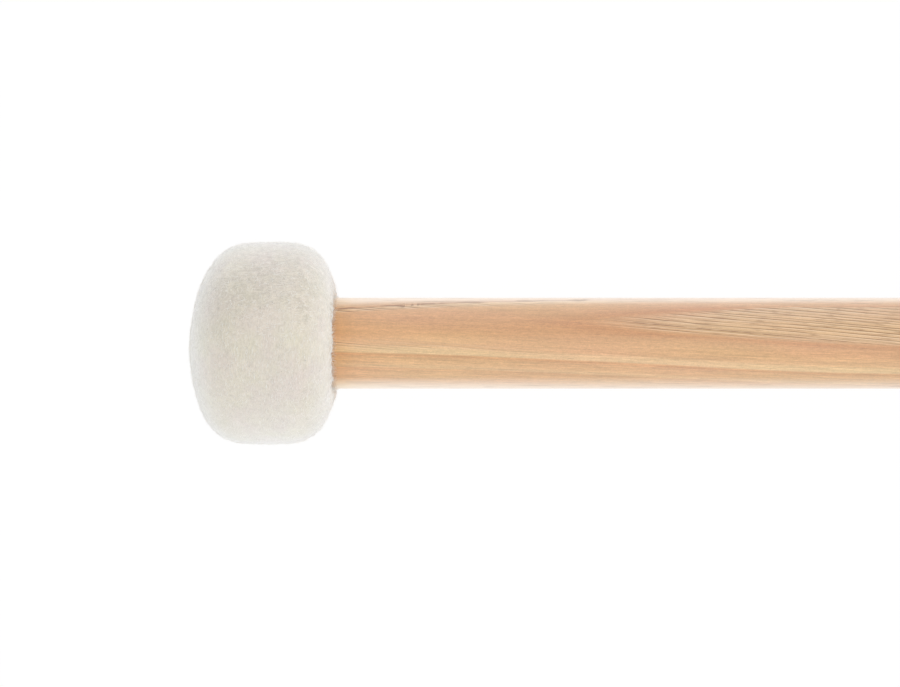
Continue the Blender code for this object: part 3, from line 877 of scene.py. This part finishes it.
def matted_points(rng, root, normal):
    """Points of a strand that lies in the felt's face, round the head or along it, with both ends sunk in."""
    level = noise.noise(root / (6 * MM)) + 0.05 * root.y / MM
    along_head = level + rng.normal(0, 0.2) > 0.4
    heading = AXIS - normal * AXIS.dot(normal) if along_head else AXIS.cross(normal)
    heading = heading.normalized() + Vector(rng.normal(0, 0.24, 3))
    heading = (heading - normal * heading.dot(normal)).normalized()
    side = normal.cross(heading)
    length = rng.uniform(*STRAND_LENGTHS)
    points = []
    for share in np.linspace(-0.5, 0.5, STRAND_POINTS):
        drop = (share * length) ** 2 / (24 * MM) + 0.2 * MM * share**2 - 0.012 * MM
        points.append(root + heading * length * share + side * length * rng.normal(0, 0.05) - normal * drop)
    return points


def make_matted_strands(felt_head):
    """Clumped pale fibres that lie in the felt's face."""
    centres, normals, areas = outer_faces(felt_head.data)
    wool = down("pale_wool", linear(254, 252, 246), linear(246, 242, 234))
    rng = np.random.default_rng(FELT_SEED + 20)
    radii = [STRAND_RADIUS * share for share in (0.4, 1.0, 1.0, 1.0, 0.4)]
    strands = []
    for face in rng.choice(len(centres), MATTED_STRANDS, p=areas / areas.sum()):
        normal = Vector(normals[face])
        root = beside(rng, Vector(centres[face]), normal, 0.1 * MM)
        strands.append((matted_points(rng, root, normal), radii))
    settle(strand_curve("matted_strands", strands, wool), "white_wool_felt")


def make_mouth_fibres():
    """Fibres that come out from under the felt's lip and lie on the handle."""
    rng = np.random.default_rng(FELT_SEED + 50)
    # Painted light: over the handle these fibres are coloured warm, standing in for the wood's warm light through and
    # under them; beside it they stay near white.
    wool = down("lip_wool", linear(253, 238, 220), linear(242, 218, 192), linear(255, 253, 250))
    lip_x = felt_lip_x()
    strands = []
    for _ in range(MOUTH_FIBRES):
        angle = rng.uniform(0, math.tau)
        slant = rng.uniform(-0.4, -0.2) * math.pi
        turn = rng.normal(0, 0.05)
        root_x = lip_x + (math.cos(slant) - 1) * LIP_RADIUS
        root_radius = MOUTH_RADIUS + LIP_RADIUS * (1 + math.sin(slant))
        end_x = lip_x + rng.uniform(-0.2, 1.0) * MOUTH_REACH
        end_radius = HANDLE_RADIUS + rng.uniform(0.03, 0.2) * MM
        points = []
        for share in (0.0, 0.5, 1.0):
            x = root_x + (end_x - root_x) * share
            radius = root_radius + (end_radius - root_radius) * share**0.7
            direction = angle + turn * share**1.5
            points.append(Vector((x, radius * math.cos(direction), radius * math.sin(direction))))
        strands.append((points, tapered(FIBRE_RADIUS)))
    settle(strand_curve("mouth_fibres", strands, wool), "white_wool_felt")


def make_dark_fibres(felt_head):
    """A few stray dark fibres on the side of the felt that faces the camera."""
    rng = np.random.default_rng(FELT_SEED + 90)
    tone = down("stray_fibre", linear(150, 146, 126), linear(122, 128, 108))
    strands = []
    for column, row, length in DARK_FIBRES:
        x = HEAD_FRONT_X + (column - HEAD_FRONT_PIXEL) * PIXEL
        y = (AXIS_PIXEL - row) * PIXEL
        hit, place, normal, _ = felt_head.ray_cast((x, y, 0.1), (0, 0, -1))
        if hit:
            along = Vector(rng.normal(0, 1, 3))
            points = make_strand(rng, place + normal * 0.08 * MM, normal, along, length, 0)
            strands.append((points, tapered(0.05 * MM)))
    settle(strand_curve("stray_fibres", strands, tone), "white_wool_felt")


def make_inner_felt(node, name, slot, light, dark):
    """An inner felt piece: the CAD solid with its faces divided and a matted surface."""
    form = bmesh.new()
    form.from_mesh(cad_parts[node].data)
    bmesh.ops.remove_doubles(form, verts=form.verts, dist=0.002 * MM)
    bmesh.ops.subdivide_edges(form, edges=form.edges, cuts=1, use_grid_fill=True)
    form.normal_update()
    for vertex in form.verts:
        vertex.co += vertex.normal * noise.noise(vertex.co / RELIEF_SIZE) * 0.05 * MM
    piece = add_piece(name, form, felt(name + "_felt", light, dark, 0.1 * MM), math.radians(50))
    settle(piece, slot, node)


def dress_hard_parts():
    """Finishes for the core, washer and screw, whose CAD shapes stay."""
    finishes = {
        "head_core": maple(),
        "core_washer": steel("zinc_plate", linear(196, 198, 200), linear(168, 172, 176)),
        "core_screw": steel("bright_steel", linear(180, 182, 186), linear(150, 152, 158)),
    }
    for node, material in finishes.items():
        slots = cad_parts[node].data.materials
        slots.clear()
        slots.append(material)


# Where the room is brightest, and how much light comes up through the floor
BRIGHT_SIDE = (0.96, 0.28, 0.0)
FLOOR_GLOW = 0.3


def seen_ray(tree):
    """1 for rays that show a surface to the camera, straight or by reflection, and 0 for light."""
    rays = add_node(tree, "ShaderNodeLightPath").outputs
    seen = maths(tree, "MAXIMUM", rays["Is Camera Ray"], rays["Is Glossy Ray"])
    return maths(tree, "MAXIMUM", seen, rays["Is Transmission Ray"])


def make_floor():
    """White floor that touches the head and the butt, keeps the mallet's shadow and fades out around it."""
    head_foot = Vector((WIDEST_X, 0, -HEAD_RADIUS))
    butt_foot = Vector((-BUTT_EDGE_RADIUS, 0, -HANDLE_RADIUS))
    slope = math.atan2(butt_foot.z - head_foot.z, butt_foot.x - head_foot.x)
    form = bmesh.new()
    bmesh.ops.create_grid(form, x_segments=1, y_segments=1, size=4)
    place = Matrix.Translation(head_foot) @ Matrix.Rotation(-slope, 4, "Y")
    bmesh.ops.transform(form, matrix=place, verts=form.verts)
    material, tree, shader, place = new_material("white_floor")
    tree.nodes.remove(shader)
    matt = add_node(tree, "ShaderNodeBsdfDiffuse", {"Color": grey(0.96)}).outputs[0]
    backlight = add_node(tree, "ShaderNodeEmission", {"Color": grey(1.0), "Strength": FLOOR_GLOW}).outputs[0]
    paper = add_node(tree, "ShaderNodeAddShader", {0: matt, 1: backlight}).outputs[0]
    glow = add_node(tree, "ShaderNodeEmission", {"Color": grey(1.0), "Strength": 1.0}).outputs[0]
    beside = maths(tree, "ABSOLUTE", dot(tree, place, (0, 1, 0)))
    middle = maths(tree, "ADD", dot(tree, place, (1, 0, 0)), 175)
    beyond = maths(tree, "MAXIMUM", maths(tree, "SUBTRACT", maths(tree, "ABSOLUTE", middle), 175), 0)
    away = maths(tree, "SQRT", maths(tree, "ADD", maths(tree, "POWER", beside, 2.0), maths(tree, "POWER", beyond, 2.0)))
    far = ramp(tree, maths(tree, "DIVIDE", away, 400), ((0.0, grey(0.93)), (0.15, grey(0.96)), (1.0, grey(1.0))))
    share = maths(tree, "MULTIPLY", seen_ray(tree), far)
    shown = add_node(tree, "ShaderNodeMixShader", {0: share, 1: paper, 2: glow}).outputs[0]
    tree.links.new(shown, tree.nodes["Material Output"].inputs["Surface"])
    add_piece("floor", form, material)


def make_world():
    """White surroundings, brightest all round at the level of the mallet and a little more so on one side."""
    world = bpy.data.worlds.new("white_room")
    bpy.context.scene.world = world
    world.use_nodes = True
    tree = world.node_tree
    background = tree.nodes["Background"]
    place = add_node(tree, "ShaderNodeTexCoord").outputs["Generated"]
    height = ramp(tree, dot(tree, place, (0, 0, 1)), ((0.0, grey(1.0)), (1.0, grey(0.42))))
    towards = maths(tree, "MULTIPLY_ADD", dot(tree, place, BRIGHT_SIDE), 0.5, 0.5)
    side = ramp(tree, towards, ((0.0, grey(0.54)), (1.0, grey(1.0))))
    room = mix(tree, 1.0, height, side, "MULTIPLY")
    room = mix(tree, 1.0, room, (1.76, 1.76, 1.76, 1.0), "MULTIPLY")
    shown = mix(tree, seen_ray(tree), room, grey(1.0))
    tree.links.new(shown, background.inputs["Color"])
    background.inputs["Strength"].default_value = 1.0


def add_softbox(name, place, target, width, height, power):
    light = bpy.data.lights.new(name, "AREA")
    light.shape = "RECTANGLE"
    light.size = width
    light.size_y = height
    light.energy = power
    lamp = bpy.data.objects.new(name, light)
    lamp.location = place
    lamp.rotation_euler = (Vector(target) - Vector(place)).to_track_quat("-Z", "Y").to_euler()
    bpy.context.scene.collection.objects.link(lamp)


def make_lights():
    """Two long softboxes beside the mallet, the near one stronger, and a weak one over it."""
    middle = (-0.2, 0, 0)
    add_softbox("softbox_far", (-0.2, 1.1, 0.5), middle, 1.6, 0.8, 0.8)
    add_softbox("softbox_near", (-0.2, -1.1, 0.5), middle, 1.6, 0.8, 1.6)
    add_softbox("softbox_over", (-0.2, 0, 1.3), middle, 0.8, 0.8, 1.2)


def make_camera():
    """The photograph's view: straight down, with the mallet's axis across the picture."""
    camera = bpy.data.cameras.new("camera")
    camera.sensor_width = SENSOR_WIDTH
    camera.lens = SENSOR_WIDTH * CAMERA_DISTANCE / (PHOTO_WIDTH * PIXEL)
    camera.clip_start = 0.01
    camera.clip_end = 20
    holder = bpy.data.objects.new("camera", camera)
    x = HEAD_FRONT_X + (PHOTO_WIDTH / 2 - HEAD_FRONT_PIXEL) * PIXEL
    y = (AXIS_PIXEL - PHOTO_HEIGHT / 2) * PIXEL
    holder.location = (x, y, CAMERA_DISTANCE)
    bpy.context.scene.collection.objects.link(holder)
    bpy.context.scene.camera = holder


make_camera()
make_world()
make_lights()
make_floor()
make_handle()
felt_head = make_felt_head()
bpy.context.view_layer.update()
make_fibres(felt_head)
make_matted_strands(felt_head)
make_mouth_fibres()
make_dark_fibres(felt_head)
make_inner_felt("front_pad", "front_felt_pad", "pad_felt", linear(216, 211, 201), linear(198, 193, 181))
make_inner_felt("felt_liner", "felt_strip", "strip_felt", linear(212, 206, 194), linear(194, 188, 175))
make_inner_felt("back_ring", "felt_back_ring", "ring_felt", linear(214, 209, 199), linear(196, 191, 179))
dress_hard_parts()
bpy.context.scene.view_settings.view_transform = "Standard"
